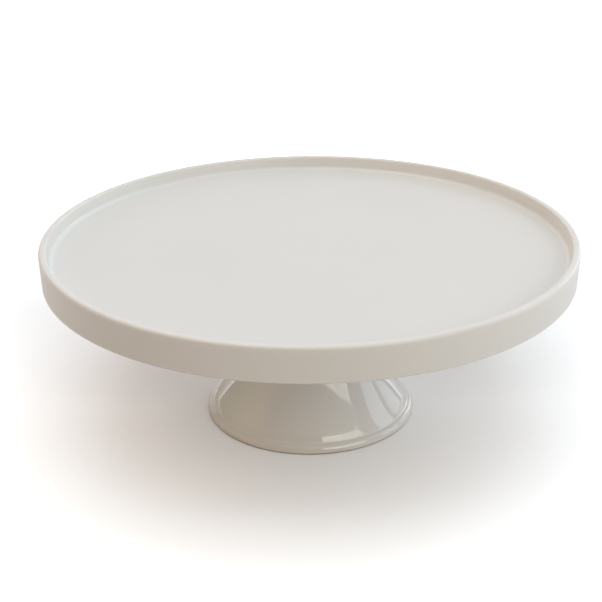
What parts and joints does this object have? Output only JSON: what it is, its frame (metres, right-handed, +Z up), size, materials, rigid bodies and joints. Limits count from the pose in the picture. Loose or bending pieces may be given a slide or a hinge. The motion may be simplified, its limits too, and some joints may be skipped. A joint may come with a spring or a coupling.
{
  "type": "cake stand",
  "caption": "Round glazed porcelain cake stand with a low upright rim on a hollow flared pedestal foot.",
  "frame": {"origin": "on the table, under the middle of the foot", "axes": "+Z up along the stand's axis of turning; X and Y are alike, because the stand is round"},
  "size_m": [0.31, 0.31, 0.112],
  "materials": {
    "plate_glaze": "satin gloss",
    "foot_glaze": "gloss",
    "joint_glaze": "gloss"
  },
  "bodies": {
    "root": {"plate": "plate_glaze", "foot": "foot_glaze", "slip_joint": "joint_glaze"}
  },
  "joints": []
}
